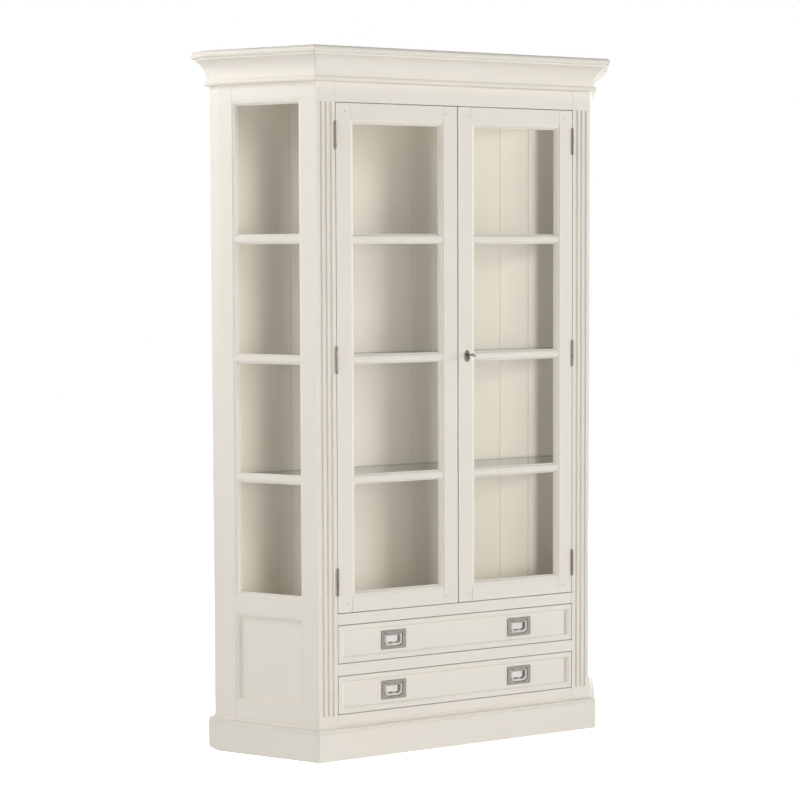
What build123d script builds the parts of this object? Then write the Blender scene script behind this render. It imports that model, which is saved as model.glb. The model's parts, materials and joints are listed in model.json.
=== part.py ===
from build123d import *
import os
from math import atan2, cos, hypot, sin

# A tall painted display cabinet with canted glazed sides, a pair of inset
# glazed doors above and two drawers below. Millimetres, +Z up, the front
# faces -Y, and the origin is on the floor under the middle of the cabinet.

# --- driving dimensions -------------------------------------------------
HEIGHT = 2100.0
FACE_WIDTH = 954.2          # front face, corner to corner
CARCASS_DEPTH = 347.8       # front face to back
CORNICE_OUT = 61.0          # how far the cornice stands out
PLINTH_OUT = 22.0
CANT_ACROSS = 181.6         # a canted side measured across the cabinet
CANT_BACK = 282.1           # and from front to back
FRAME_THICK = 24.0          # front frame, side frames and doors
PANEL_THICK = 18.0
BACK_THICK = 11.0

PLINTH_TOP = 82.8
BASE = 101.4                # top of the plinth cap, where the carcass stands
LOWER_DRAWER = (131.8, 248.7)
UPPER_DRAWER = (284.0, 400.7)
DOORWAY = (434.3, 1942.8)
CARCASS_TOP = 2001.3
PILASTER_WIDTH = 62.5

FLUTE_RADIUS = 4.0
FLUTE_PITCH = 16.0

EDGE_GAP = 2.2              # round each door
MEETING_GAP = 3.5           # between the two doors
DRAWER_GAP = 2.2
DOOR_STILE = 49.7           # doorway edge to the moulded edge
DOOR_RAIL = 49.4
MUNTIN_HEIGHTS = (832.0, 1188.6, 1543.9)

STICK = 13.0                # width of the moulded edge beside the glass
STICK_DEPTH = 14.0          # face to the front of the glass
NOSE = 3.0                  # flat nose along the middle of a glazing bar
BAR_WEB = 10.0
GLASS_THICK = 4.0
BEAD_WIDTH = 8.0
SHELF_THICK = 6.0
PIN_DEPTH = 6.0             # shelf pin let into the wood
PIN_REACH = 14.0            # and standing out of it
PIN_SHANK = 2.5             # radius
REAR_PIN = 215.4            # from the middle to the pins in the back boards

SIDE_FRONT_STILE = 52.1
SIDE_REAR_STILE = 45.4
SIDE_RAILS = ((BASE, 151.0), (422.0, 474.0), (1952.5, CARCASS_TOP))

BOARD_JOINTS = (-399.0, -183.6, 31.8, 247.2, 354.9, 462.6)
BOARD_VEE = 1.6             # eased edge of a back board

HINGE_HEIGHTS = (530.0, 1188.5, 1846.5)
HINGE_LENGTH = 80.0
BARREL_RADIUS = 3.2
BARREL_PROUD = 2.2          # barrel's axis in front of the face
PIN_RADIUS = 2.0
RUNNING = 0.05              # radial clearance of a pin that turns

FINIAL = 1.2                # head at each end of the hinge pin
LEAF_THICK = 2.0
LEAF_WIDTH = 17.0
HINGE_SCREW_PITCH = 27.0

PEG_RADIUS = 3.3
PEG_INSET = (32.0, 38.0, 24.0)     # from the hinge edge, the meeting edge and the ends
DOOR_STOP = (44.0, 14.0, 12.0)     # width, height and thickness

LOCK_X = 32.5
LOCK_Z = 1193.5             # the key's axis
LOCK_CASE = ((4.0, 46.0), (-26.0, 26.0), (-FRAME_THICK, -12.0))    # up from the key's axis
LOCK_BOLT = ((0.5, 30.0), (11.0, 21.0), (-20.5, -15.5))
LOCK_THROW = 7.3            # from where the bolt rests to fully out
ESCUTCHEON = (9.6, 18.2, 3.0)      # half width, half height and thickness
ESCUTCHEON_Z = 1189.0
KEY_RADIUS = 2.4
KEY_SHANK = (-21.5, 30.5)   # inner end and bow end, from the face
KEY_SWEEP = 8.5             # reach of the key's bit from its axis
KEY_BIT = (2.4, 5.5)        # thickness and length along the shank
KEY_TURN = 49.0             # how far the key at rest is turned from upright
BOW_RADIUS = 6.8
BOW_WIRE = 1.25

SHOOT_X = -9.0              # axis of the left door's shoot bolts
SHOOT_DEPTH = -12.0         # and its place in the door's thickness
SHOOT_RADIUS = 3.0
SHOOT_THROW = 12.0
SHOOT_LENGTH = 70.0
SHOOT_BUTTON = (4.0, 8.0)   # thickness and height
SHOOT_PLATE = (2.0, 14.0, 100.0)   # thickness, width and length
PLATE_MIDDLE = 60.0         # from the door's end to the plate's middle

FIELD_DEPTH = 8.0           # drawer field behind the face
DRAWER_SIDE = 12.0
DRAWER_LENGTH = 290.0
BOX_HALF = 411.6            # half the width over a drawer box
BOX_UP = 4.0                # from the bottom of the front to the bottom of the sides
BOX_DOWN = 10.0             # from the top of the front to the top of the sides
BOTTOM_UP = 8.0             # from the bottom of the sides to the drawer's bottom
BOTTOM_THICK = 6.0
BOTTOM_GROOVE = 6.0
RUNNER_DEEP = 18.0
RUNNER_CLEAR = 0.3
PULL_X = 222.0
PULL_PLATE = (84.0, 57.0)
PLATE_CORNER = 3.0
PLATE_FACE = -5.6           # the plate's face, measured from the cabinet's face
PULL_MOUTH = (62.0, -21.5, 20.0)   # width of the recess, its bottom and its top
MOUTH_ROUND = 15.0          # lower corners of the recess
PULL_LIP = (45.4, 12.0)     # width of the lip over the recess, and its lower edge
PULL_FLOOR = -16.6          # bottom of the tray, measured from the cabinet's face
PULL_WALL = 1.5             # thickness of the tray
PULL_SCREWS = (36.8, 23.2)  # corner screws, from the pull's middle
BAIL_PIVOT = (16.0, -9.0)   # above the pull's middle, and outwards
BAIL_OUTER = (57.0, -18.9, 13.0)   # width, lowest edge and corner radius
BAIL_INNER = (47.0, -12.4, 8.0)
BAIL_THICK = 2.6
TRUNNION = 1.2              # radius

ARRIS = 0.7                 # eased edges
HAIRLINE = 0.5              # open joint between two pieces of the frame
HAIRLINE_DEPTH = 3.0

# --- derived dimensions -------------------------------------------------
FRONT = -(CARCASS_DEPTH - CORNICE_OUT) / 2
BACK = FRONT + CARCASS_DEPTH
CANT = atan2(CANT_ACROSS, CANT_BACK)
CANT_LENGTH = hypot(CANT_ACROSS, CANT_BACK)
HALF_FACE = FACE_WIDTH / 2
HALF_WIDTH = HALF_FACE + CANT_ACROSS
HALF_OPENING = HALF_FACE - PILASTER_WIDTH
BOARD_FACE = BACK - BACK_THICK
MINIMUM = (Align.MIN, Align.MIN, Align.MIN)

# Each sheet plane has u across it, v up it and w out of it.
FACE = Plane(origin=(0, FRONT, 0), x_dir=(1, 0, 0), z_dir=(0, -1, 0))
DOOR_LEVEL = (DOORWAY[0] + EDGE_GAP, DOORWAY[1] - EDGE_GAP)
LEFT_REAR_CORNER = (-HALF_WIDTH, FRONT + CANT_BACK, 0)
LEFT_CANT = Plane(
    origin=LEFT_REAR_CORNER,
    x_dir=(sin(CANT), -cos(CANT), 0),
    z_dir=(-cos(CANT), -sin(CANT), 0),
)


# --- building blocks ----------------------------------------------------
def slab(plane, u, v, w):
    """A block on a sheet plane, from pairs of limits."""
    block = Box(u[1] - u[0], v[1] - v[0], w[1] - w[0], align=MINIMUM)
    return plane.location * Pos(u[0], v[0], w[0]) * block


def rod(plane, u, v, w, radius):
    """A round bar standing on a sheet plane, between two values of w."""
    bar = Cylinder(radius, w[1] - w[0], align=(Align.CENTER, Align.CENTER, Align.MIN))
    return plane.location * Pos(u, v, w[0]) * bar


def prism(points, low, high):
    """A plan outline raised between two heights."""
    return Pos(0, 0, low) * extrude(make_face(Polyline(*points, close=True)), high - low)


def rectangle(x, y):
    """Corners of a rectangle in plan, from pairs of limits."""
    return [(x[0], y[0]), (x[1], y[0]), (x[1], y[1]), (x[0], y[1])]


def eased(solid, size=ARRIS):
    """A block with every edge eased."""
    return chamfer(solid.edges(), size)


def frame_rail(plane, span, level):
    """A rail with eased edges, and a hairline at its face where it meets each stile."""
    rail = eased(slab(plane, span, level, (-FRAME_THICK, 0)))
    for end in span:
        across = (end - HAIRLINE, end + HAIRLINE)
        rail -= slab(plane, across, level, (-HAIRLINE_DEPTH, 1))
    return rail


def both_sides(solids):
    """The left-hand solids and their right-hand mirror images."""
    return list(solids) + [mirror(solid, about=Plane.YZ) for solid in solids]


def write(name, solids):
    """One node: its separate solids in one file."""
    pieces = [piece for solid in solids for piece in solid.solids()]
    export_step(Compound(children=pieces), f"parts/{name}.step")


def corner(index, offset, back=BACK):
    """Corner of the plan outline moved outwards, from left back to right back."""
    if index > 2:
        x, y = corner(5 - index, offset, back)
        return (-x, y)
    if index == 2:
        return (-HALF_FACE - offset * cos(CANT) / (1 + sin(CANT)), FRONT - offset)
    if index == 1:
        rear = LEFT_REAR_CORNER[1] - offset * sin(CANT) / (1 + cos(CANT))
        return (-HALF_WIDTH - offset, rear)
    return (-HALF_WIDTH - offset, back)


def outline(offset, back=BACK):
    """The whole plan outline, moved outwards."""
    return [corner(index, offset, back) for index in range(6)]


def mitre_joint(index, inner, outer, low, high):
    """The hairline between two lengths at a corner of the plan."""
    near = Vector(*corner(index, inner - 1))
    far = Vector(*corner(index, outer + 1))
    across = (far - near).normalized().rotate(Axis.Z, 90) * (HAIRLINE / 2)
    return prism([near - across, far - across, far + across, near + across], low, high)


def round_the_plan(section, inner, outer, low, high):
    """Five lengths of a section, mitred round the front and sides."""
    joints = [mitre_joint(index, inner, outer, low, high) for index in range(1, 5)]
    lengths = []
    spare = 50
    for index in range(5):
        start = Vector(*corner(index, 0))
        end = Vector(*corner(index + 1, 0))
        along = (end - start).normalized()
        outwards = (along.Y, -along.X, 0)
        plane = Plane(origin=end + along * spare, x_dir=outwards, z_dir=-along)
        run = extrude(plane * section, (end - start).length + 2 * spare)
        wedge = [
            corner(index, inner),
            corner(index + 1, inner),
            corner(index + 1, outer),
            corner(index, outer),
        ]
        length = run & prism(wedge, low, high)
        for joint in joints[max(index - 1, 0) : index + 1]:
            length -= joint
        lengths.append(length)
    return lengths


def mitred(section, length):
    """A length of section along X with 45 degree mitres; t is +Y and w is +Z."""
    box = section.bounding_box()
    near, far = box.min.X, box.max.X
    run = extrude(Plane.YZ * section, length)
    wedge = Polyline(
        (near, near), (length - near, near), (length - far, far), (far, far), close=True
    )
    return run & extrude(make_face(wedge), 60, both=True)


def frame_sides(plane, u, v, section):
    """Four mitred lengths round a rectangle: bottom, right, top and left."""
    wide = u[1] - u[0]
    tall = v[1] - v[0]
    starts = ((u[0], v[0], wide), (u[1], v[0], tall), (u[1], v[1], wide), (u[0], v[1], tall))
    sides = []
    for quarter, (left, low, length) in enumerate(starts):
        place = plane.location * Pos(left, low, 0) * Rot(0, 0, 90 * quarter)
        sides.append(place * mitred(section, length))
    return sides


# --- sections -----------------------------------------------------------
def stick_section():
    """The moulded edge: a fillet, a quarter round and a step down to the glass."""
    edge = [
        Line((0, -STICK_DEPTH), (0, -2.2)),
        Line((0, -2.2), (1.4, -2.2)),
        ThreePointArc((1.4, -2.2), (7.6, -4.4), (10.2, -10.2)),
        Line((10.2, -10.2), (STICK, -11.2)),
        Line((STICK, -11.2), (STICK, -STICK_DEPTH)),
        Line((STICK, -STICK_DEPTH), (0, -STICK_DEPTH)),
    ]
    return make_face(Wire(edge))


def bar_section():
    """A glazing bar: a moulded edge to each side of a flat nose."""
    half = stick_section().moved(Location((NOSE / 2, 0, 0)))
    nose = Pos(0, -STICK_DEPTH / 2 - 0.2) * Rectangle(NOSE, STICK_DEPTH - 0.4)
    return nose + half + mirror(half, about=Plane.YZ)


def bead_section(width, low, high):
    """A glazing bead with one eased edge, behind the glass."""
    ease = 2.0
    points = ((0, low), (0, high), (width, high), (width, low + ease), (width - ease, low))
    return make_face(Polyline(*points, close=True))


def cornice_section():
    """Bead, fillet, cove, fillet and torus, from the carcass outwards."""
    top = HEIGHT - CARCASS_TOP
    edge = [
        Line((-PANEL_THICK, 0), (11, 0)),
        ThreePointArc((11, 0), (19, 7.5), (11.5, 15)),
        Line((11.5, 15), (11.5, 22)),
        ThreePointArc((11.5, 22), (21.5, 53.7), (48, 74)),
        Line((48, 74), (50.5, 74)),
        Line((50.5, 74), (50.5, 78)),
        ThreePointArc((50.5, 78), (CORNICE_OUT, 89), (54, top)),
        Line((54, top), (-PANEL_THICK, top)),
        Line((-PANEL_THICK, top), (-PANEL_THICK, 0)),
    ]
    return make_face(Wire(edge))


def plinth_cap_section():
    """A rounded nose over the plinth board and an ogee up to the carcass."""
    rise = BASE - PLINTH_TOP
    inner = -FRAME_THICK
    edge = [
        Line((inner, 0), (20.3, 0)),
        Line((20.3, 0), (20.3, 1)),
        ThreePointArc((20.3, 1), (PLINTH_OUT, 3), (20.3, 5.2)),
        Line((20.3, 5.2), (18.6, 5.2)),
        ThreePointArc((18.6, 5.2), (16.6, 9.4), (11.8, 11)),
        ThreePointArc((11.8, 11), (4.6, 12.8), (1.2, 17.6)),
        Line((1.2, 17.6), (1.2, rise)),
        Line((1.2, rise), (inner, rise)),
        Line((inner, rise), (inner, 0)),
    ]
    return make_face(Wire(edge))


# --- plinth and cornice -------------------------------------------------
def make_plinth():
    thick = PANEL_THICK
    board = make_face(
        Polyline(
            (PLINTH_OUT - thick, 0),
            (PLINTH_OUT, 0),
            (PLINTH_OUT, PLINTH_TOP - ARRIS),
            (PLINTH_OUT - ARRIS, PLINTH_TOP),
            (PLINTH_OUT - thick, PLINTH_TOP),
            close=True,
        )
    )
    boards = round_the_plan(board, PLINTH_OUT - thick, PLINTH_OUT, 0, PLINTH_TOP)
    half = -corner(0, PLINTH_OUT - thick)[0]
    rear = prism(rectangle((-half, half), (BACK - thick, BACK)), 0, PLINTH_TOP)
    write("plinth_boards", boards + [rear])
    cap = plinth_cap_section().moved(Location((0, PLINTH_TOP, 0)))
    lengths = round_the_plan(cap, -FRAME_THICK, PLINTH_OUT, PLINTH_TOP, BASE)
    write("plinth_cap", lengths)


def make_cornice():
    section = cornice_section().moved(Location((0, CARCASS_TOP, 0)))
    lengths = round_the_plan(section, -PANEL_THICK, CORNICE_OUT, CARCASS_TOP, HEIGHT)
    write("cornice_mouldings", lengths)
    thick = 12
    top = HEIGHT - 9
    lid = prism(outline(-PANEL_THICK, BACK - thick), top - thick, top)
    half = -corner(0, -PANEL_THICK)[0]
    rear = prism(rectangle((-half, half), (BACK - thick, BACK)), CARCASS_TOP, top)
    write("cornice_cover", [lid, rear])


# --- carcass ------------------------------------------------------------
def shelf_pin_places():
    """Foot of each shelf pin and its direction out of the wood."""
    places = []
    inside = HALF_WIDTH - FRAME_THICK
    rear_y = BACK - 32
    on_stile = LEFT_CANT.from_local_coords(Vector(CANT_LENGTH - 45, 0, -FRAME_THICK))
    for height in MUNTIN_HEIGHTS:
        level = height - SHELF_THICK / 2 - PIN_SHANK
        for side in (1, -1):
            places.append((Vector(-side * inside, rear_y, level), Vector(side, 0, 0)))
            start = Vector(side * on_stile.X, on_stile.Y, level)
            places.append((start, Vector(side * cos(CANT), sin(CANT), 0)))
            places.append((Vector(side * REAR_PIN, BOARD_FACE, level), Vector(0, -1, 0)))
    return places


def pin_bar(place, back, front, radius):
    """A round bar along a shelf pin's axis."""
    start, direction = place
    plane = Plane(origin=start, z_dir=direction)
    return rod(plane, 0, 0, (-back, front), radius)


PIN_HOLES = [pin_bar(place, PIN_DEPTH, 0, PIN_SHANK) for place in shelf_pin_places()]


def with_pin_holes(solid):
    """The solid with any shelf pin's hole that reaches it."""
    box = solid.bounding_box()
    for hole in PIN_HOLES:
        reach = hole.bounding_box()
        apart = (
            reach.min.X > box.max.X + 1
            or reach.max.X < box.min.X - 1
            or reach.min.Y > box.max.Y + 1
            or reach.max.Y < box.min.Y - 1
        )
        if not apart:
            solid = solid - hole
    return solid


def make_boards():
    inner = -FRAME_THICK
    write("base_panel", [prism(outline(inner, BOARD_FACE), BASE, BASE + PANEL_THICK)])
    floor_low = DOORWAY[0] - PANEL_THICK
    write("display_floor", [prism(outline(inner, BOARD_FACE), floor_low, DOORWAY[0])])
    roof_low = CARCASS_TOP - PANEL_THICK
    write("top_panel", [prism(outline(inner, BOARD_FACE), roof_low, CARCASS_TOP)])


def make_pilaster(name, side):
    """A fluted front stile, mitred to the canted side, with three hinge housings."""
    mitre = FRAME_THICK * cos(CANT) / (1 + sin(CANT))
    points = [
        (HALF_OPENING, FRONT),
        (HALF_FACE, FRONT),
        (HALF_FACE - mitre, FRONT + FRAME_THICK),
        (HALF_OPENING, FRONT + FRAME_THICK),
    ]
    post = prism(points, BASE, CARCASS_TOP)
    middle = (HALF_OPENING + HALF_FACE) / 2
    flute = Cylinder(FLUTE_RADIUS, DOORWAY[1] - LOWER_DRAWER[0])
    height = (DOORWAY[1] + LOWER_DRAWER[0]) / 2
    for step in (-1, 0, 1):
        post -= Pos(middle + step * FLUTE_PITCH, FRONT, height) * flute
    for housing in hinge_housings("frame"):
        post -= housing
    if side < 0:
        post = mirror(post, about=Plane.YZ)
    write(name, [post])


def make_front_rails():
    """Top, waist, drawer and bottom rails between the pilasters."""
    span = (-HALF_OPENING, HALF_OPENING)
    levels = (
        (BASE, LOWER_DRAWER[0]),
        (LOWER_DRAWER[1], UPPER_DRAWER[0]),
        (UPPER_DRAWER[1], DOORWAY[0]),
        (DOORWAY[1], CARCASS_TOP),
    )
    rails = [frame_rail(FACE, span, level) for level in levels]
    bottom, divider, waist, top = rails
    waist -= shoot_hole((DOORWAY[0] - SHOOT_THROW - 4, DOORWAY[0]))
    top -= shoot_hole((DOORWAY[1], DOORWAY[1] + SHOOT_THROW + 4))
    write("front_rails", [bottom, divider, waist, top])


def cant_point(u, w):
    """Plan position of a point on the left canted side."""
    place = LEFT_CANT.from_local_coords(Vector(u, 0, w))
    return (place.X, place.Y)


def bar_hexagon(span, height, low, high):
    """Outline of a glazing bar with its pointed ends, as a block across the sheet."""
    half = NOSE / 2
    start, end = span
    points = [
        (start, half),
        (start + STICK, half + STICK),
        (end - STICK, half + STICK),
        (end, half),
        (end, -half),
        (end - STICK, -half - STICK),
        (start + STICK, -half - STICK),
        (start, -half),
    ]
    return Pos(0, height, 0) * prism(points, low, high)


def glazing_bar(plane, span, height):
    """One horizontal glazing bar between two stiles."""
    run = Pos(span[0], height, 0) * extrude(Plane.YZ * bar_section(), span[1] - span[0])
    bar = run & bar_hexagon(span, height, -STICK_DEPTH, 0)
    web = Pos(span[0], height - BAR_WEB / 2, -FRAME_THICK) * Box(
        span[1] - span[0], BAR_WEB, FRAME_THICK - STICK_DEPTH, align=MINIMUM
    )
    return plane.location * (bar + web)


def bar_notch(plane, span, height):
    """What a glazing bar's pointed ends take out of the stiles' moulded edges."""
    return plane.location * bar_hexagon(span, height, -STICK_DEPTH, 1)


def glazing(plane, span, hole):
    """The panes between the glazing bars, each held by four mitred beads."""
    edge = 1.5
    web = BAR_WEB / 2
    panes = []
    beads = []
    section = bead_section(BEAD_WIDTH, -FRAME_THICK, -STICK_DEPTH - GLASS_THICK)
    levels = [hole[0], *MUNTIN_HEIGHTS, hole[1]]
    for index, (low, high) in enumerate(zip(levels, levels[1:])):
        bottom = low + (web if index > 0 else 0)
        top = high - (web if index < len(MUNTIN_HEIGHTS) else 0)
        pane = slab(
            plane,
            (span[0] + edge, span[1] - edge),
            (bottom + edge, top - edge),
            (-STICK_DEPTH - GLASS_THICK, -STICK_DEPTH),
        )
        panes.append(pane)
        beads += frame_sides(plane, span, (bottom, top), section)
    return panes, beads


def glazed_frame(plane, span, hole, level, rear_stile, front_stile):
    """Adds the moulded edge to two stiles, and makes the two rails between them."""
    bottom, to_right, top, to_left = frame_sides(plane, span, hole, stick_section())
    for height in MUNTIN_HEIGHTS:
        notch = bar_notch(plane, span, height)
        to_right -= notch
        to_left -= notch
    low_rail = frame_rail(plane, span, (level[0], hole[0])) + bottom
    high_rail = frame_rail(plane, span, (hole[1], level[1])) + top
    return rear_stile + to_left, front_stile + to_right, low_rail, high_rail


def make_sides():
    """The two canted sides: stiles, rails, glazing bars, glass, beads and panel."""
    span = (SIDE_REAR_STILE, CANT_LENGTH - SIDE_FRONT_STILE)
    lower, middle, upper = SIDE_RAILS
    rear_points = [
        corner(1, 0),
        cant_point(span[0], 0),
        cant_point(span[0], -FRAME_THICK),
        corner(1, -FRAME_THICK),
    ]
    front_points = [
        cant_point(span[1], 0),
        corner(2, 0),
        corner(2, -FRAME_THICK),
        cant_point(span[1], -FRAME_THICK),
    ]
    rear_stile = prism(rear_points, BASE, CARCASS_TOP)
    front_stile = prism(front_points, BASE, CARCASS_TOP)

    glass_hole = (middle[1], upper[0])
    rear_stile, front_stile, middle_rail, upper_rail = glazed_frame(
        LEFT_CANT, span, glass_hole, (middle[0], upper[1]), rear_stile, front_stile
    )
    panel_hole = (lower[1], middle[0])
    section = stick_section()
    bottom, to_front, top, to_rear = frame_sides(LEFT_CANT, span, panel_hole, section)
    rear_stile += to_rear
    front_stile += to_front
    middle_rail += top
    lower_rail = frame_rail(LEFT_CANT, span, lower) + bottom
    bars = [glazing_bar(LEFT_CANT, span, height) for height in MUNTIN_HEIGHTS]
    panes, beads = glazing(LEFT_CANT, span, glass_hole)
    panel = slab(LEFT_CANT, span, panel_hole, (-STICK_DEPTH - 8, -STICK_DEPTH))

    write("side_stiles", [with_pin_holes(s) for s in both_sides([rear_stile, front_stile])])
    write("side_rails", both_sides([lower_rail, middle_rail, upper_rail]))
    write("side_muntins", both_sides(bars))
    write("side_glass", both_sides(panes))
    write("side_beads", both_sides(beads))
    write("side_panels", both_sides([panel]))
    return_points = [
        corner(1, 0),
        corner(1, -FRAME_THICK),
        corner(0, -FRAME_THICK),
        corner(0, 0),
    ]
    returns = both_sides([prism(return_points, BASE, CARCASS_TOP)])
    write("side_returns", [with_pin_holes(panel) for panel in returns])


def make_back():
    """Tongued and grooved boards with a small V at each joint."""
    inside = HALF_WIDTH - FRAME_THICK
    edges = [-inside, *BOARD_JOINTS, inside]
    tongue = 4.0
    play = 0.2
    front, back = BOARD_FACE, BACK
    tongue_front = (front + back) / 2 - 1.5
    tongue_back = (front + back) / 2 + 1.5
    boards = []
    for index, (left, right) in enumerate(zip(edges, edges[1:])):
        points = [(left + BOARD_VEE, front), (right - BOARD_VEE, front), (right, front + BOARD_VEE)]
        if index < len(BOARD_JOINTS):
            points += [
                (right, tongue_front),
                (right + tongue, tongue_front),
                (right + tongue, tongue_back),
                (right, tongue_back),
            ]
        points += [(right, back), (left, back)]
        if index > 0:
            points += [
                (left, tongue_back + play),
                (left + tongue + play, tongue_back + play),
                (left + tongue + play, tongue_front - play),
                (left, tongue_front - play),
            ]
        points.append((left, front + BOARD_VEE))
        boards.append(with_pin_holes(prism(points, BASE, CARCASS_TOP)))
    write("back_boards", boards)


def make_shelves():
    """Three glass shelves on round pins."""
    clear = 3.0
    shape = make_face(Polyline(*outline(-FRAME_THICK - clear, BOARD_FACE - clear), close=True))
    nose = FRONT + 40
    keep = Pos(0, nose + 500) * Rectangle(2000, 1000)
    shelves = []
    for height in MUNTIN_HEIGHTS:
        glass = extrude(shape & keep, SHELF_THICK)
        shelves.append(Pos(0, 0, height - SHELF_THICK / 2) * eased(glass, 0.5))
    write("glass_shelves", shelves)
    places = shelf_pin_places()
    write("shelf_pins", [pin_bar(place, PIN_DEPTH, PIN_REACH, PIN_SHANK) for place in places])


def make_drawer_case():
    """Partitions beside the drawers, with a runner under each drawer side."""
    floor = BASE + PANEL_THICK
    ceiling = DOORWAY[0] - PANEL_THICK
    front = FRONT + FRAME_THICK
    across = (HALF_OPENING, HALF_OPENING + PANEL_THICK)
    partition = prism(rectangle(across, (front, BOARD_FACE)), floor, ceiling)
    write("drawer_partitions", both_sides([partition]))
    runners = []
    for level in (LOWER_DRAWER, UPPER_DRAWER):
        top = level[0] + DRAWER_GAP + BOX_UP - RUNNER_CLEAR
        low = max(floor, top - RUNNER_DEEP)
        left = BOX_HALF - DRAWER_SIDE - 3
        plan = rectangle((left, HALF_OPENING), (front, BOARD_FACE))
        runners.append(eased(prism(plan, low, top)))
    write("drawer_runners", both_sides(runners))


def make_door_stops():
    """Blocks behind the meeting stiles, at the top and at the bottom."""
    width, tall, thick = DOOR_STOP
    across = (-width / 2, width / 2)
    depth = (-FRAME_THICK - 0.5 - thick, -FRAME_THICK - 0.5)
    low = slab(FACE, across, (DOORWAY[0], DOORWAY[0] + tall), depth)
    under = CARCASS_TOP - PANEL_THICK
    high = slab(FACE, across, (DOORWAY[1] - tall, under), depth)
    write("door_stops", [eased(low), eased(high)])


# --- hinges -------------------------------------------------------------
def hinge_place(height):
    """Where a right-hand hinge's pivot is."""
    return Pos(HALF_OPENING - EDGE_GAP / 2, FRONT - BARREL_PROUD, height)


def hinge_leaf(knuckles, bore):
    """A leaf of a butt hinge with its share of the knuckles, about its pivot."""
    near = EDGE_GAP / 2
    half = HINGE_LENGTH / 2
    start = BARREL_PROUD + 2.0
    leaf = Pos(near, start, -half) * Box(LEAF_THICK, LEAF_WIDTH, HINGE_LENGTH, align=MINIMUM)
    pitch = HINGE_LENGTH / 5
    for index in knuckles:
        low = -half + index * pitch + 0.15
        tall = pitch - 0.3
        leaf += Pos(0, 0, low + tall / 2) * Cylinder(BARREL_RADIUS, tall)
        leaf += Pos(near, 0, low) * Box(LEAF_THICK, start + 1, tall, align=MINIMUM)
    leaf -= Cylinder(bore, HINGE_LENGTH + 2)
    for step in (-1, 0, 1):
        leaf -= hinge_screw(step)
    return leaf


def hinge_screw(step, slotted=False):
    """A countersunk screw through a leaf, with its head towards the gap."""
    near = EDGE_GAP / 2
    head = Pos(near + 0.8, 0, 0) * Rot(0, 90, 0) * Cone(2.9, 1.4, 1.6)
    shank = Pos(near + 1.6, 0, 0) * Rot(0, 90, 0) * Cylinder(
        1.4, 12, align=(Align.CENTER, Align.CENTER, Align.MIN)
    )
    screw = head + shank
    if slotted:
        screw -= Pos(near, 0, 0) * Box(1.0, 6, 0.8)
    stagger = 3.0 if step == 0 else -2.5
    across = BARREL_PROUD + 2 + LEAF_WIDTH / 2 + stagger
    return Pos(0, across, HINGE_SCREW_PITCH * step) * screw


def hinge_housings(opening_side):
    """What the three right-hand hinges take out of the pilaster, or out of the door."""
    near = EDGE_GAP / 2
    half = HINGE_LENGTH / 2
    length = BARREL_PROUD + 2.0 + LEAF_WIDTH + 2
    pocket = Pos(near - 1, -2, -half) * Box(LEAF_THICK + 1, length, HINGE_LENGTH, align=MINIMUM)
    pocket += Cylinder(BARREL_RADIUS + 0.4, HINGE_LENGTH + 2 * FINIAL + 1)
    for step in (-1, 0, 1):
        pocket += hinge_screw(step)
    if opening_side == "door":
        pocket = mirror(pocket, about=Plane.YZ)
    return [hinge_place(height) * pocket for height in HINGE_HEIGHTS]


def make_hinges():
    """Fixed halves of the hinges, their pins, and the screws in the pilasters."""
    leaf = hinge_leaf((0, 2, 4), PIN_RADIUS)
    pin = Cylinder(PIN_RADIUS, HINGE_LENGTH)
    for end in (-1, 1):
        finial = Pos(0, 0, end * (HINGE_LENGTH + FINIAL) / 2)
        pin += finial * Cylinder(BARREL_RADIUS - 0.6, FINIAL)
    places = [hinge_place(height) for height in HINGE_HEIGHTS]
    fixed = [place * piece for place in places for piece in (leaf, pin)]
    write("hinge_frame_halves", both_sides(fixed))
    screws = [place * hinge_screw(step, True) for place in places for step in (-1, 0, 1)]
    write("hinge_frame_screws", both_sides(screws))


# --- doors --------------------------------------------------------------
def shoot_hole(level):
    """A shoot bolt's hole."""
    low, high = level
    bar = Cylinder(SHOOT_RADIUS + 0.4, high - low)
    return Pos(SHOOT_X, FRONT - SHOOT_DEPTH, (low + high) / 2) * bar


def shoot_bolt(top):
    """A shoot bolt, drawn back, with its thumb button; top is +1 or -1."""
    end = DOOR_LEVEL[1] - 0.5 if top > 0 else DOOR_LEVEL[0] + 0.5
    middle = end - top * SHOOT_LENGTH / 2
    bolt = Pos(SHOOT_X, FRONT - SHOOT_DEPTH, middle) * Cylinder(SHOOT_RADIUS, SHOOT_LENGTH)
    reach = -MEETING_GAP / 2 - 0.4 - SHOOT_X
    button = Pos(SHOOT_X + reach / 2, FRONT - SHOOT_DEPTH, button_height(top))
    return bolt + button * Box(reach, *SHOOT_BUTTON)


def button_height(top):
    """Height of a shoot bolt's thumb button at rest."""
    end = DOOR_LEVEL[1] if top > 0 else DOOR_LEVEL[0]
    return end - top * (SHOOT_LENGTH - 5.5)


def button_slot(top, left, right):
    """The slot that a thumb button travels in."""
    thick, tall = SHOOT_BUTTON
    middle = button_height(top) + top * SHOOT_THROW / 2
    place = Pos((left + right) / 2, FRONT - SHOOT_DEPTH, middle)
    return place * Box(right - left, thick + 1, tall + 1 + SHOOT_THROW)


def plate_place(top):
    """The middle of a shoot bolt's face plate."""
    end = DOOR_LEVEL[1] if top > 0 else DOOR_LEVEL[0]
    middle_x = -(MEETING_GAP + SHOOT_PLATE[0]) / 2
    return Pos(middle_x, FRONT - SHOOT_DEPTH, end - top * PLATE_MIDDLE)


def shoot_plate(top):
    """The face plate in the meeting edge, with a slot for the thumb button."""
    edge = -MEETING_GAP / 2
    plate = plate_place(top) * eased(Box(*SHOOT_PLATE), 0.4)
    return plate - button_slot(top, edge - SHOOT_PLATE[0] - 1, edge + 1)


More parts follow.
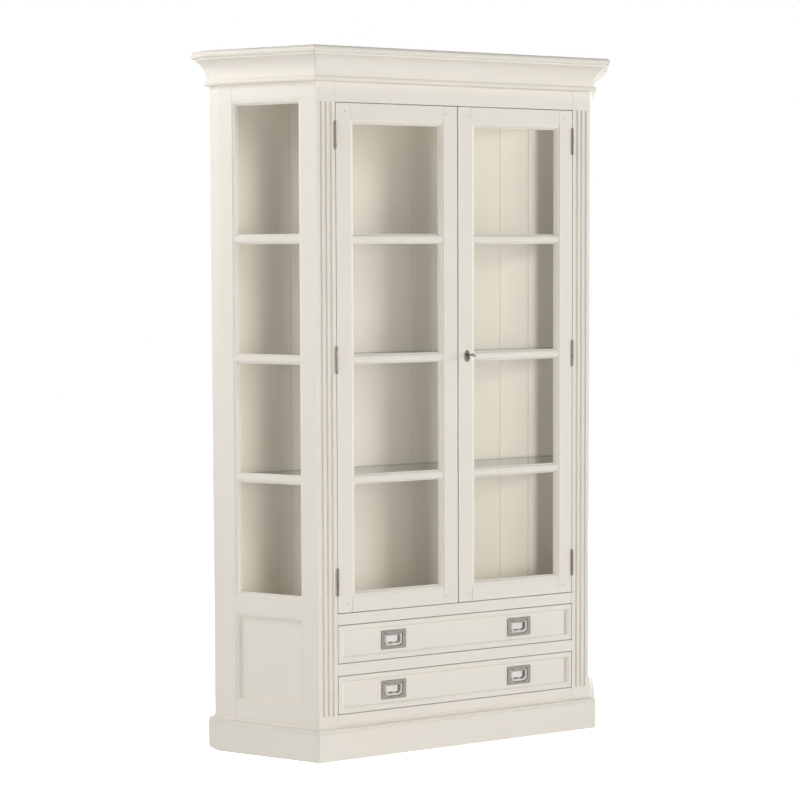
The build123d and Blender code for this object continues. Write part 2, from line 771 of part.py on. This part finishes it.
def shoot_housing(top):
    """What a shoot bolt and its plate take out of the left meeting stile."""
    end = DOOR_LEVEL[1] if top > 0 else DOOR_LEVEL[0]
    middle = end - top * SHOOT_LENGTH / 2
    bore = Cylinder(SHOOT_RADIUS + 0.4, SHOOT_LENGTH + 8)
    bore = Pos(SHOOT_X, FRONT - SHOOT_DEPTH, middle) * bore
    slot = button_slot(top, SHOOT_X, -MEETING_GAP / 2)
    return [bore, plate_place(top) * Box(*SHOOT_PLATE), slot]


def make_door(name, right):
    """A glazed door: built on the left, and mirrored for the right."""
    outer = -HALF_OPENING + EDGE_GAP
    inner = -MEETING_GAP / 2
    span = (-HALF_OPENING + DOOR_STILE, -DOOR_STILE)
    hole = (DOORWAY[0] + DOOR_RAIL, DOORWAY[1] - DOOR_RAIL)
    depth = (-FRAME_THICK, 0)
    hinge_stile = eased(slab(FACE, (outer, span[0]), DOOR_LEVEL, depth))
    meeting_stile = eased(slab(FACE, (span[1], inner), DOOR_LEVEL, depth))
    hinge_stile, meeting_stile, low_rail, high_rail = glazed_frame(
        FACE, span, hole, DOOR_LEVEL, hinge_stile, meeting_stile
    )
    for housing in hinge_housings("door"):
        hinge_stile -= mirror(housing, about=Plane.YZ)
    bars = [glazing_bar(FACE, span, height) for height in MUNTIN_HEIGHTS]
    panes, beads = glazing(FACE, span, hole)

    pegs = []
    from_hinge, from_meeting, from_end = PEG_INSET
    for u in (outer + from_hinge, inner - from_meeting):
        for v in (DOOR_LEVEL[0] + from_end, DOOR_LEVEL[1] - from_end):
            peg = rod(FACE, u, v, (-16, 0.7), PEG_RADIUS)
            pegs.append(chamfer(peg.edges().sort_by(Axis.Y)[0], 0.6))
            ring = rod(FACE, u, v, (-1.5, 1), PEG_RADIUS + HAIRLINE)
            hinge_stile -= peg + ring
            meeting_stile -= peg + ring
    leaf = mirror(hinge_leaf((1, 3), PIN_RADIUS + RUNNING), about=Plane.YZ)
    leaves = [hinge_place(height) * leaf for height in HINGE_HEIGHTS]
    screws = [
        hinge_place(height) * mirror(hinge_screw(step, True), about=Plane.YZ)
        for height in HINGE_HEIGHTS
        for step in (-1, 0, 1)
    ]
    if right:
        hinge_stile, meeting_stile = flipped([hinge_stile, meeting_stile])
        low_rail, high_rail = flipped([low_rail, high_rail])
        bars, panes, beads, pegs = (flipped(group) for group in (bars, panes, beads, pegs))
        for recess in lock_recesses():
            meeting_stile -= recess
    else:
        leaves, screws = flipped(leaves), flipped(screws)
        for top in (1, -1):
            for recess in shoot_housing(top):
                meeting_stile -= recess
        meeting_stile -= lock_strike()
        write(f"{name}_bolt_plates", [shoot_plate(1), shoot_plate(-1)])
        write(f"{name}_bolt_upper", [shoot_bolt(1)])
        write(f"{name}_bolt_lower", [shoot_bolt(-1)])
    write(f"{name}_stiles", [hinge_stile, meeting_stile])
    write(f"{name}_rails", [low_rail, high_rail])
    write(f"{name}_muntins", bars)
    write(f"{name}_glass", panes)
    write(f"{name}_beads", beads)
    write(f"{name}_pegs", pegs)
    write(f"{name}_hinge_leaves", leaves)
    write(f"{name}_hinge_screws", screws)


def flipped(solids):
    """Mirror images across the middle of the cabinet."""
    return [mirror(solid, about=Plane.YZ) for solid in solids]


# --- lock ---------------------------------------------------------------
def raised(limits):
    """Limits across, up and through, with up counted from the floor."""
    across, up, through = limits
    return across, (LOCK_Z + up[0], LOCK_Z + up[1]), through


def grown(limits, spare):
    """Limits widened at both ends."""
    return (limits[0] - spare, limits[1] + spare)


def key_way(radius, low, high):
    """A keyhole right through: a round hole over a slot for the bit."""
    hole = rod(FACE, LOCK_X, LOCK_Z, (low, high), radius)
    drop = (LOCK_Z - KEY_SWEEP - 0.6, LOCK_Z)
    return hole + slab(FACE, (LOCK_X - 1.9, LOCK_X + 1.9), drop, (low, high))


def lock_recesses():
    """The mortise for the lock, the keyhole and the bolt's way out of the edge."""
    across, up, through = raised(LOCK_BOLT)
    mortise = slab(FACE, *raised(LOCK_CASE))
    way_out = slab(FACE, (0, across[1]), grown(up, 0.4), grown(through, 0.4))
    return [mortise, way_out, key_way(KEY_RADIUS + 0.4, LOCK_CASE[2][1], 1.0)]


def lock_strike():
    """The hole for the lock's bolt in the left meeting stile."""
    _, up, through = raised(LOCK_BOLT)
    return slab(FACE, (-LOCK_THROW - 4, 0), grown(up, 0.6), grown(through, 0.6))


def make_lock():
    """Case and sliding bolt of the right door's lock."""
    across, up, through = raised(LOCK_BOLT)
    cap = 2.0
    front = LOCK_CASE[2][1]
    case = eased(slab(FACE, *raised(LOCK_CASE)), 0.5)
    case -= slab(FACE, (0, across[1] + 4), grown(up, 0.4), grown(through, 0.4))
    chamber = (LOCK_CASE[2][0] + cap, front - cap)
    case -= rod(FACE, LOCK_X, LOCK_Z, chamber, KEY_SWEEP + 0.8)
    case -= key_way(KEY_RADIUS + RUNNING, front - cap, front + 1)
    write("lock_case", [case])
    write("lock_bolt", [eased(slab(FACE, *raised(LOCK_BOLT)), 0.5)])


def make_escutcheon():
    """A domed oval plate with a keyhole."""
    half_width, half_height, thick = ESCUTCHEON
    plate = extrude(Ellipse(half_width, half_height), thick)
    plate = fillet(plate.faces().sort_by(Axis.Z)[-1].edges(), 2.2)
    plate = FACE.location * Pos(LOCK_X, ESCUTCHEON_Z, 0) * plate
    write("escutcheon", [plate - key_way(KEY_RADIUS + 0.5, -1, thick + 1)])


def make_key():
    """A key with a ring bow and a flat bit, part turned in the lock."""
    inner, outer = KEY_SHANK
    thick, long = KEY_BIT
    shank = rod(FACE, LOCK_X, LOCK_Z, KEY_SHANK, KEY_RADIUS)
    collar = rod(FACE, LOCK_X, LOCK_Z, (7, 9.5), 3.6)
    tip = rod(FACE, LOCK_X, LOCK_Z, (outer - 3, outer - 1), 3.2)
    width = (LOCK_X - thick / 2, LOCK_X + thick / 2)
    bit = slab(FACE, width, (LOCK_Z - KEY_SWEEP, LOCK_Z), (inner + 1, inner + 1 + long))
    middle = (LOCK_X, FRONT - outer - BOW_RADIUS + 0.8, LOCK_Z)
    bow = Plane(origin=middle, z_dir=(1, 0, 0)).location * Torus(BOW_RADIUS, BOW_WIRE)
    axis = Axis((LOCK_X, 0, LOCK_Z), (0, -1, 0))
    write("key", [(shank + collar + tip + bit + bow).rotate(axis, KEY_TURN)])


# --- drawers ------------------------------------------------------------
def drawer_moulding_section():
    """A flat border, a fillet and a quarter round down to the drawer's field."""
    low = -FIELD_DEPTH
    edge = [
        Line((0, low), (0, -ARRIS)),
        Line((0, -ARRIS), (ARRIS, 0)),
        Line((ARRIS, 0), (9.2, 0)),
        Line((9.2, 0), (9.2, -1)),
        Line((9.2, -1), (10, -1)),
        ThreePointArc((10, -1), (15.8, -2.7), (18.2, -6.6)),
        Line((18.2, -6.6), (20, -7.0)),
        Line((20, -7.0), (20, low)),
        Line((20, low), (0, low)),
    ]
    return make_face(Wire(edge))


def pull_place(side, middle):
    """The middle of a pull, with X across, Y up and Z out of the drawer."""
    return FACE.location * Pos(side * PULL_X, middle, 0)


def mouth_outline(spare=0):
    """The recess: square at the top and well rounded at the bottom."""
    width, low, high = PULL_MOUTH
    shape = Pos(0, (low + high) / 2) * Rectangle(width + 2 * spare, high - low + 2 * spare)
    return fillet(shape.vertices().group_by(Axis.Y)[0], MOUTH_ROUND + spare)


def pull_screw_places():
    """The four corner screws of a pull plate."""
    across, up = PULL_SCREWS
    return [(u, v) for u in (-across, across) for v in (-up, up)]


def pull_screw(u, v, slotted=False):
    """A small countersunk screw with its head level with the plate."""
    head = Pos(u, v, PLATE_FACE - 1.8) * Cone(
        1.4, 2.6, 1.5, align=(Align.CENTER, Align.CENTER, Align.MIN)
    )
    shank = Pos(u, v, PLATE_FACE - 13) * Cylinder(
        1.4, 12, align=(Align.CENTER, Align.CENTER, Align.MIN)
    )
    screw = head + shank
    if slotted:
        screw -= Pos(u, v, PLATE_FACE - 0.3) * Rot(0, 0, 30) * Box(6, 0.8, 1.2)
    return screw


def pull_plate():
    """A flush pull: a bevelled plate with a sunk tray, and a lip over its top."""
    thick = FIELD_DEPTH + PLATE_FACE
    blank = extrude(RectangleRounded(*PULL_PLATE, PLATE_CORNER), thick)
    plate = chamfer(blank.faces().sort_by(Axis.Z)[-1].edges(), 1.0)
    plate = Pos(0, 0, -FIELD_DEPTH) * plate
    tray_depth = PULL_WALL - FIELD_DEPTH - PULL_FLOOR
    tray = Pos(0, 0, PULL_FLOOR - PULL_WALL) * extrude(mouth_outline(PULL_WALL), tray_depth)
    hollow = Pos(0, 0, PULL_FLOOR) * extrude(mouth_outline(), -PULL_FLOOR)
    width, low = PULL_LIP
    high = PULL_MOUTH[2] + 2
    lip = Pos(-width / 2, low, -FIELD_DEPTH) * Box(width, high - low, thick, align=MINIMUM)
    pull = plate + tray - hollow + lip
    pivot_v, pivot_w = BAIL_PIVOT
    axle = Cylinder(TRUNNION + RUNNING, PULL_MOUTH[0] + 2 * PULL_WALL + 1)
    pull -= Pos(0, pivot_v, pivot_w) * Rot(0, 90, 0) * axle
    for u, v in pull_screw_places():
        pull -= pull_screw(u, v)
    return pull


def bail_outline(width, low, radius):
    """A block from a bail's lowest edge up past its pivot, rounded at the bottom."""
    top = BAIL_PIVOT[0] + 1.8
    shape = Pos(0, (top + low) / 2) * Rectangle(width, top - low)
    return fillet(shape.vertices().group_by(Axis.Y)[0], radius)


def pull_bail():
    """A U-shaped handle on two trunnions, swollen in the middle for a finger."""
    inner_low = BAIL_INNER[1]
    swell = Pos(0, inner_low - 1) * Ellipse(8, 2.6)
    bar = extrude(bail_outline(*BAIL_OUTER) - bail_outline(*BAIL_INNER) + swell, BAIL_THICK)
    bar = chamfer(bar.faces().sort_by(Axis.Z)[-1].edges(), 0.5)
    pivot_v, pivot_w = BAIL_PIVOT
    bail = Pos(0, 0, pivot_w + 0.5) * bar
    arm = (BAIL_OUTER[0] + BAIL_INNER[0]) / 4
    for side in (-1, 1):
        place = Pos(side * arm, pivot_v, pivot_w) * Rot(0, 90, 0)
        bail += place * Cylinder(1.8, 5)
        bail += Pos(side * 2.8, 0, 0) * place * Cylinder(TRUNNION, 7)
    return bail


def make_drawer(name, level):
    """A drawer: its front with a planted moulding, its box, and two flush pulls."""
    low = level[0] + DRAWER_GAP
    high = level[1] - DRAWER_GAP
    half = HALF_OPENING - DRAWER_GAP
    middle = (low + high) / 2
    board = slab(FACE, (-half, half), (low, high), (-FRAME_THICK, -FIELD_DEPTH))
    moulding = frame_sides(FACE, (-half, half), (low, high), drawer_moulding_section())

    start = FRONT + FRAME_THICK
    box_low, box_high = low + BOX_UP, high - BOX_DOWN
    panel_low = box_low + BOTTOM_UP
    panel_high = panel_low + BOTTOM_THICK
    inner = BOX_HALF - DRAWER_SIDE
    outer = inner + BOTTOM_GROOVE
    end = start + DRAWER_LENGTH
    bottom = prism(
        rectangle((-outer, outer), (start - BOTTOM_GROOVE, end)), panel_low, panel_high
    )
    side = prism(rectangle((inner, BOX_HALF), (start, end)), box_low, box_high)
    sides = [piece - bottom for piece in both_sides([side])]
    rear_depth = (end - DRAWER_SIDE, end)
    rear = prism(rectangle((-inner, inner), rear_depth), panel_high, box_high)
    board -= bottom

    plates = []
    screws = []
    pocket_floor = PULL_FLOOR - PULL_WALL - 0.3
    for side_sign in (-1, 1):
        place = pull_place(side_sign, middle)
        pocket = extrude(mouth_outline(PULL_WALL + 0.2), -FIELD_DEPTH - pocket_floor)
        board -= place * Pos(0, 0, pocket_floor) * pocket
        plates.append(place * pull_plate())
        for u, v in pull_screw_places():
            screws.append(place * pull_screw(u, v, True))
            board -= place * pull_screw(u, v)
    write(f"{name}_front", [board, *moulding])
    write(f"{name}_box", [*sides, rear, bottom])
    write(f"{name}_pull_plates", plates)
    write(f"{name}_pull_screws", screws)
    write(f"{name}_bail_left", [pull_place(-1, middle) * pull_bail()])
    write(f"{name}_bail_right", [pull_place(1, middle) * pull_bail()])


os.makedirs("parts", exist_ok=True)
make_plinth()
make_cornice()
make_boards()
make_pilaster("pilaster_left", -1)
make_pilaster("pilaster_right", 1)
make_front_rails()
make_sides()
make_back()
make_shelves()
make_drawer_case()
make_door_stops()
make_hinges()
make_door("door_left", False)
make_door("door_right", True)
make_lock()
make_escutcheon()
make_key()
make_drawer("drawer_upper", UPPER_DRAWER)
make_drawer("drawer_lower", LOWER_DRAWER)
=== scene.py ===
import json
from math import cos, radians, sin

import bpy
from mathutils import Matrix, Vector

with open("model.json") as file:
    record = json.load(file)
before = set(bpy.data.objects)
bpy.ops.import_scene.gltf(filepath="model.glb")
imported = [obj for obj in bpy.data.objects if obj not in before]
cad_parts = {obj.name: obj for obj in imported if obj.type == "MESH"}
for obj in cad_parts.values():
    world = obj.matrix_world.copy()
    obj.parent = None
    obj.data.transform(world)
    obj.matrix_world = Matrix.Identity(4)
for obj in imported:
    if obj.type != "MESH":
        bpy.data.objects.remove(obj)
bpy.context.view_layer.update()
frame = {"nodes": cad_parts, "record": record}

# A tall painted display cabinet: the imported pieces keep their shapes, and this
# script gives them their materials, lights them and sets the camera. Metres.

# --- camera and lights --------------------------------------------------
CAMERA_PLACE = (-3.2826, -5.7440, 1.4921)
CAMERA_YAW = 28.818         # degrees from +Y towards +X
CAMERA_PITCH = -3.651
CAMERA_ROLL = -0.187
CAMERA_LENS = 96.4          # millimetres
SENSOR_WIDTH = 36           # millimetres
FARTHEST_SEEN = 100

# White softboxes. name: place, what it points at, its width and height, its watts
SOFTBOXES = {
    "key": ((10.10, -7.20, 2.90), (0.0, -0.14, 1.10), (1.3, 4.5), 970.0),
    "front_fill": ((-0.90, -4.40, 1.05), (0.0, -0.14, 0.90), (2.2, 1.6), 42.0),
    "left_fill": ((-4.90, -1.50, 1.20), (0.0, -0.14, 1.00), (1.8, 1.6), 55.0),
    "high_fill": ((-1.60, -3.20, 4.00), (0.0, -0.14, 1.10), (2.0, 2.0), 6.0),
    "side_fill": ((-2.66, 0.33, 2.99), (0.0, -0.14, 1.10), (1.3, 1.3), 34.0),
    "rim_left": ((-2.69, 1.75, 1.39), (0.0, -0.14, 1.10), (1.3, 1.3), 12.0),
    "rear_fill": ((2.4, 4.6, 2.2), (0.2, 0.2, 1.1), (3.0, 2.4), 150.0),
}
REFLECTED_WHITE = 1.05      # how bright the surroundings are in reflections; 1 to the camera
FLOOR_REFLECTED = 0.28      # the floor's own glow in reflections; 1 to the camera
FLOOR_HALF = 14.0           # half the floor's width


def turned_to(place, target):
    """The rotation that points an object's -Z from place towards target."""
    return (Vector(target) - Vector(place)).to_track_quat("-Z", "Y").to_euler()


def add_camera():
    yaw, pitch, roll = radians(CAMERA_YAW), radians(CAMERA_PITCH), radians(CAMERA_ROLL)
    forward = Vector((sin(yaw) * cos(pitch), cos(yaw) * cos(pitch), sin(pitch)))
    level = Vector((cos(yaw), -sin(yaw), 0))
    upright = level.cross(forward)
    right = level * cos(roll) + upright * sin(roll)
    up = upright * cos(roll) - level * sin(roll)
    data = bpy.data.cameras.new("camera")
    data.lens = CAMERA_LENS
    data.sensor_width = SENSOR_WIDTH
    data.clip_end = FARTHEST_SEEN
    camera = bpy.data.objects.new("camera", data)
    camera.matrix_world = Matrix.Translation(CAMERA_PLACE) @ Matrix(
        (right, up, -forward)
    ).transposed().to_4x4()
    bpy.context.scene.collection.objects.link(camera)
    bpy.context.scene.camera = camera


def add_softbox(name, place, target, size, watts):
    data = bpy.data.lights.new(name, "AREA")
    data.shape = "RECTANGLE"
    data.size, data.size_y = size
    data.energy = watts
    lamp = bpy.data.objects.new(name, data)
    lamp.location = place
    lamp.rotation_euler = turned_to(place, target)
    lamp.visible_camera = False
    bpy.context.scene.collection.objects.link(lamp)


def light_world():
    """White to the camera and in reflections; it doesn't light matt surfaces."""
    world = bpy.data.worlds.new("studio")
    world.use_nodes = True
    tree = world.node_tree
    background = tree.nodes["Background"]
    path = tree.nodes.new("ShaderNodeLightPath")
    strength = tree.nodes.new("ShaderNodeMath")
    strength.operation = "MULTIPLY_ADD"
    strength.inputs[1].default_value = REFLECTED_WHITE
    tree.links.new(path.outputs["Is Glossy Ray"], strength.inputs[0])
    tree.links.new(path.outputs["Is Camera Ray"], strength.inputs[2])
    tree.links.new(strength.outputs["Value"], background.inputs["Strength"])
    background.inputs["Color"].default_value = (1, 1, 1, 1)
    bpy.context.scene.world = world


# --- node helpers -------------------------------------------------------
class Nodes:
    """A material and short ways to add nodes to it."""

    def __init__(self, name):
        self.material = bpy.data.materials.new(name)
        self.material.use_nodes = True
        self.tree = self.material.node_tree
        self.shader = self.tree.nodes["Principled BSDF"]
        self.output = self.tree.nodes["Material Output"]

    def add(self, kind, **settings):
        node = self.tree.nodes.new("ShaderNode" + kind)
        for name, value in settings.items():
            setattr(node, name, value)
        return node

    def link(self, start, end):
        self.tree.links.new(start, end)

    def place(self, scale=(1, 1, 1)):
        """The point's place in the row frame, stretched."""
        source = self.add("TexCoord").outputs["Object"]
        mapping = self.add("Mapping")
        mapping.inputs["Scale"].default_value = scale
        self.link(source, mapping.inputs["Vector"])
        return mapping.outputs["Vector"]

    def noise(self, vector, scale, detail=3.0, roughness=0.55):
        node = self.add("TexNoise")
        node.inputs["Scale"].default_value = scale
        node.inputs["Detail"].default_value = detail
        node.inputs["Roughness"].default_value = roughness
        self.link(vector, node.inputs["Vector"])
        return node.outputs["Fac"]

    def spread(self, value, low, high, low_in=0.3, high_in=0.7):
        """A value brought from one range to another."""
        node = self.add("MapRange")
        node.inputs["From Min"].default_value = low_in
        node.inputs["From Max"].default_value = high_in
        node.inputs["To Min"].default_value = low
        node.inputs["To Max"].default_value = high
        self.link(value, node.inputs["Value"])
        return node.outputs["Result"]

    def mix(self, factor, first, second):
        """One shader turning into another."""
        node = self.add("MixShader")
        self.link(factor, node.inputs["Fac"])
        self.link(first.outputs[0], node.inputs[1])
        self.link(second.outputs[0], node.inputs[2])
        return node

    def blend(self, factor, first, second):
        """A colour between two others; each is a colour or a socket."""
        node = self.add("Mix", data_type="RGBA")
        self.link(factor, node.inputs["Factor"])
        for value, name in ((first, "A"), (second, "B")):
            socket = [s for s in node.inputs if s.name == name and s.type == "RGBA"][0]
            if isinstance(value, (list, tuple)):
                socket.default_value = (*value, 1)
            else:
                self.link(value, socket)
        return [s for s in node.outputs if s.type == "RGBA"][0]

    def bump(self, height, distance, under=None):
        """Relief that is `distance` metres deep, on top of the relief `under` it."""
        node = self.add("Bump")
        node.inputs["Distance"].default_value = distance
        node.inputs["Strength"].default_value = 1.0
        self.link(height, node.inputs["Height"])
        if under is not None:
            self.link(under, node.inputs["Normal"])
        return node.outputs["Normal"]

    def finish(self, colour, roughness, normal):
        """The material, once its shader has all three."""
        self.link(colour, self.shader.inputs["Base Color"])
        self.link(roughness, self.shader.inputs["Roughness"])
        self.link(normal, self.shader.inputs["Normal"])
        return self.material


# --- materials ----------------------------------------------------------
ACROSS = (1, 14, 14)        # brush strokes along X
UPRIGHT = (14, 14, 1)       # brush strokes along Z
GRAIN_ALONG_X = (1, 16, 16)
GRAIN_ALONG_Y = (16, 1, 16)
BRUSHED_ALONG_X = (1, 10, 10)

# Depths of the surfaces' relief, in metres
STROKE_DEPTH = 0.00012
HAIR_DEPTH = 0.00004
PEEL_DEPTH = 0.00002
FIBRE_DEPTH = 0.0002
GLASS_WAVE = 0.00008
METAL_SCRATCH = 0.00001
FLOOR_RELIEF = 0.0001

GLASS_IOR = 1.28
GLASS_ROUGHNESS = 0.02
CUT_EDGE_ROUGHNESS = 0.15
EDGE_SHADE = 0.8            # how dark the cut edges' darker streaks are
UPRIGHT_LIMIT = 0.5         # a face leans less than this out of the upright: a cut edge

PAINT = (0.836, 0.793, 0.720)
PAINT_SHADE = (0.822, 0.777, 0.700)
PAINT_SPECULAR = 0.3
# The back boards' paint is a lighter, warmer copy of the cabinet paint: painted light that
# brightens the cabinet's inside.
LIT_BOARD_PAINT = (0.862, 0.826, 0.738)
LIT_BOARD_PAINT_SHADE = (0.848, 0.810, 0.720)
EARLYWOOD = (0.70, 0.54, 0.35)
LATEWOOD = (0.52, 0.36, 0.20)
WOOD_FIBRE = (0.45, 0.31, 0.17)

# The key turns about a point on the cabinet's face. A pull's plate turns into its tray's walls,
# and these into its floor, over these stretches behind the face; the walls get painted shade and
# the floor a painted reflection.
JOINTS = {joint["name"]: joint for joint in frame["record"]["behaviour"]["joints"]}
FACE = JOINTS["key_turn"]["pos_m"][1]
TRAY_WALLS = (FACE + 0.0050, FACE + 0.0065)
TRAY_FLOOR = (FACE + 0.0135, FACE + 0.0150)


def paint(name, colour, shade, strokes):
    """Satin paint, brushed along the wood underneath: strokes, their hairs and a fine peel."""
    nodes = Nodes(name)
    cloud = nodes.noise(nodes.place(), scale=2.2, detail=2.0)
    stroke = nodes.noise(nodes.place(strokes), scale=26.0, detail=4.0, roughness=0.6)
    hair = nodes.noise(nodes.place(strokes), scale=130.0, detail=2.0)
    peel = nodes.noise(nodes.place(), scale=420.0, detail=2.0)
    tone = nodes.blend(nodes.spread(cloud, 0, 1), shade, colour)
    tone = nodes.blend(nodes.spread(stroke, 0, 0.25), tone, colour)
    roughness = nodes.spread(stroke, low=0.40, high=0.50)
    normal = nodes.bump(stroke, STROKE_DEPTH)
    normal = nodes.bump(hair, HAIR_DEPTH, under=normal)
    normal = nodes.bump(peel, PEEL_DEPTH, under=normal)
    nodes.shader.inputs["Specular IOR Level"].default_value = PAINT_SPECULAR
    return nodes.finish(tone, roughness, normal)


def bare_wood(name):
    """Waxed softwood: its grain runs along Y on faces that look along X, and along X on others."""
    nodes = Nodes(name)
    geometry = nodes.add("NewGeometry")
    facing = nodes.add("SeparateXYZ")
    nodes.link(geometry.outputs["Normal"], facing.inputs["Vector"])
    sideways = nodes.add("Math", operation="ABSOLUTE")
    nodes.link(facing.outputs["X"], sideways.inputs[0])
    choose = nodes.add("Mix", data_type="VECTOR")
    factor = nodes.spread(sideways.outputs[0], 0, 1, low_in=0.4, high_in=0.6)
    nodes.link(factor, choose.inputs["Factor"])
    vectors = [s for s in choose.inputs if s.type == "VECTOR"]
    nodes.link(nodes.place(GRAIN_ALONG_X), vectors[-2])
    nodes.link(nodes.place(GRAIN_ALONG_Y), vectors[-1])
    place = [s for s in choose.outputs if s.type == "VECTOR"][0]
    rings = nodes.noise(place, scale=5.0, detail=4.0, roughness=0.6)
    fibres = nodes.noise(place, scale=60.0, detail=3.0)
    tone = nodes.blend(nodes.spread(rings, 0, 1), LATEWOOD, EARLYWOOD)
    tone = nodes.blend(nodes.spread(fibres, 0, 0.35), tone, WOOD_FIBRE)
    normal = nodes.bump(fibres, FIBRE_DEPTH)
    return nodes.finish(tone, nodes.spread(rings, low=0.48, high=0.62), normal)


def glass(name, tint, edge_tint=None):
    """Clear sheet glass: faces turned to the viewer mirror by angle; cut edges may be tinted."""
    nodes = Nodes(name)
    clear = nodes.add("BsdfTransparent")
    clear.inputs["Color"].default_value = (*tint, 1)
    mirror = nodes.add("BsdfGlossy")
    mirror.inputs["Roughness"].default_value = GLASS_ROUGHNESS
    uneven = nodes.noise(nodes.place(), scale=4.0, detail=2.0)
    nodes.link(nodes.bump(uneven, GLASS_WAVE), mirror.inputs["Normal"])
    geometry = nodes.add("NewGeometry")
    fresnel = nodes.add("Fresnel")
    fresnel.inputs["IOR"].default_value = GLASS_IOR
    near_face = nodes.add("Math", operation="SUBTRACT", use_clamp=True)
    nodes.link(fresnel.outputs["Fac"], near_face.inputs[0])
    nodes.link(geometry.outputs["Backfacing"], near_face.inputs[1])
    surface = nodes.mix(near_face.outputs["Value"], clear, mirror)
    if edge_tint:
        tone = nodes.blend(uneven, edge_tint, [EDGE_SHADE * part for part in edge_tint])
        nodes.link(tone, nodes.shader.inputs["Base Color"])
        nodes.shader.inputs["Roughness"].default_value = CUT_EDGE_ROUGHNESS
        facing = nodes.add("SeparateXYZ")
        nodes.link(geometry.outputs["Normal"], facing.inputs["Vector"])
        upright = nodes.add("Math", operation="COMPARE")
        nodes.link(facing.outputs["Z"], upright.inputs[0])
        upright.inputs[1].default_value = 0.0
        upright.inputs[2].default_value = UPRIGHT_LIMIT
        surface = nodes.mix(upright.outputs["Value"], surface, nodes.shader)
    nodes.link(surface.outputs[0], nodes.output.inputs["Surface"])
    return nodes.material


def metal(name, colour, shade, low, high, tray=None):
    """A metal with a fine brushed and slightly stained surface, its roughness from low to high.

    `tray` gives a sunk tray's painted colours, as (walls, floor): painted shade on the walls
    and a painted reflection on the floor, in place of what a tray would reflect of a room, since
    this studio has nothing to reflect.
    """
    nodes = Nodes(name)
    brushed = nodes.noise(nodes.place(BRUSHED_ALONG_X), scale=1080.0, detail=3.0)
    stain = nodes.noise(nodes.place(), scale=90.0, detail=4.0, roughness=0.6)
    nodes.shader.inputs["Metallic"].default_value = 1.0
    tone = nodes.blend(nodes.spread(stain, 0, 1), shade, colour)
    if tray:
        depth = nodes.add("SeparateXYZ")
        nodes.link(nodes.place(), depth.inputs["Vector"])
        # Painted shade on the tray's walls and a painted reflection on its floor, by depth behind
        # the face.
        for stretch, painted_colour in zip((TRAY_WALLS, TRAY_FLOOR), tray):
            tone = nodes.blend(nodes.spread(depth.outputs["Y"], 0, 1, *stretch), tone, painted_colour)
    return nodes.finish(tone, nodes.spread(stain, high, low), nodes.bump(brushed, METAL_SCRATCH))


CABINET_PAINT = {
    "upright": paint("paint_upright", PAINT, PAINT_SHADE, UPRIGHT),
    "across": paint("paint_across", PAINT, PAINT_SHADE, ACROSS),
}
UPRIGHTS = ("stiles", "pilaster", "returns", "side_panels")     # parts of upright pieces' names

BY_SLOT = {
    "painted_boards": paint("paint_boards_lightened", LIT_BOARD_PAINT, LIT_BOARD_PAINT_SHADE, UPRIGHT),
    "bare_wood": bare_wood("softwood"),
    "glazing": glass("pane_glass", (0.996, 0.994, 0.988)),
    "shelf_glass": glass("shelf_glass", (0.985, 0.988, 0.976), (0.50, 0.60, 0.50)),
    "pull_metal": metal("satin_nickel", (0.74, 0.71, 0.67), (0.60, 0.57, 0.53), 0.16, 0.26),
    "lock_metal": metal("antiqued_nickel", (0.34, 0.30, 0.25), (0.05, 0.045, 0.04), 0.14, 0.30),
    "hinge_metal": metal("bronzed", (0.26, 0.22, 0.17), (0.13, 0.11, 0.09), 0.30, 0.50),
    "steel": metal("zinc_plate", (0.56, 0.55, 0.53), (0.42, 0.41, 0.40), 0.28, 0.42),
}
# Nickel for the pull plates, with painted shade on the trays' walls and a painted reflection on
# their floors.
PLATE_METAL_PAINTED_TRAY = metal("plate_nickel_painted_tray", (0.62, 0.575, 0.525), (0.48, 0.445, 0.405), 0.16, 0.26,
                    tray=((0.15, 0.13, 0.115), (0.82, 0.785, 0.76)))


def dress_nodes():
    """Each piece gets the material of its slot in the record; pull plates get their own, with
    painted shade and a painted reflection in their trays.
    """
    slots = {part["node"]: part["material_slot"] for part in frame["record"]["subparts"]}
    for node, piece in frame["nodes"].items():
        if slots[node] == "painted_wood":
            way = "upright" if any(word in node for word in UPRIGHTS) else "across"
            material = CABINET_PAINT[way]
        elif node.endswith("pull_plates"):
            material = PLATE_METAL_PAINTED_TRAY
        else:
            material = BY_SLOT[slots[node]]
        piece.data.materials.clear()
        piece.data.materials.append(material)


# --- studio -------------------------------------------------------------
def add_floor():
    """A pale floor, wide enough for every view; its glow makes it white to the camera."""
    mesh = bpy.data.meshes.new("studio_floor")
    signs = ((-1, -1), (1, -1), (1, 1), (-1, 1))
    corners = [(x * FLOOR_HALF, y * FLOOR_HALF, 0) for x, y in signs]
    mesh.from_pydata(corners, [], [(0, 1, 2, 3)])
    floor = bpy.data.objects.new("studio_floor", mesh)
    bpy.context.scene.collection.objects.link(floor)
    nodes = Nodes("studio_floor")
    cloud = nodes.noise(nodes.place(), scale=1.5, detail=2.0)
    tone = nodes.blend(cloud, (0.86, 0.86, 0.86), (0.88, 0.88, 0.88))
    roughness = nodes.spread(cloud, low=0.7, high=0.8)
    nodes.finish(tone, roughness, nodes.bump(cloud, FLOOR_RELIEF))
    glow = nodes.add("Math", operation="MULTIPLY_ADD")
    rays = nodes.add("LightPath")
    nodes.link(rays.outputs["Is Glossy Ray"], glow.inputs[0])
    glow.inputs[1].default_value = FLOOR_REFLECTED
    nodes.link(rays.outputs["Is Camera Ray"], glow.inputs[2])
    nodes.link(glow.outputs["Value"], nodes.shader.inputs["Emission Strength"])
    nodes.shader.inputs["Emission Color"].default_value = (1, 1, 1, 1)
    mesh.materials.append(nodes.material)


add_camera()
light_world()
for lamp_name, settings in SOFTBOXES.items():
    add_softbox(lamp_name, *settings)
add_floor()
dress_nodes()

bpy.context.scene.view_settings.view_transform = "Standard"
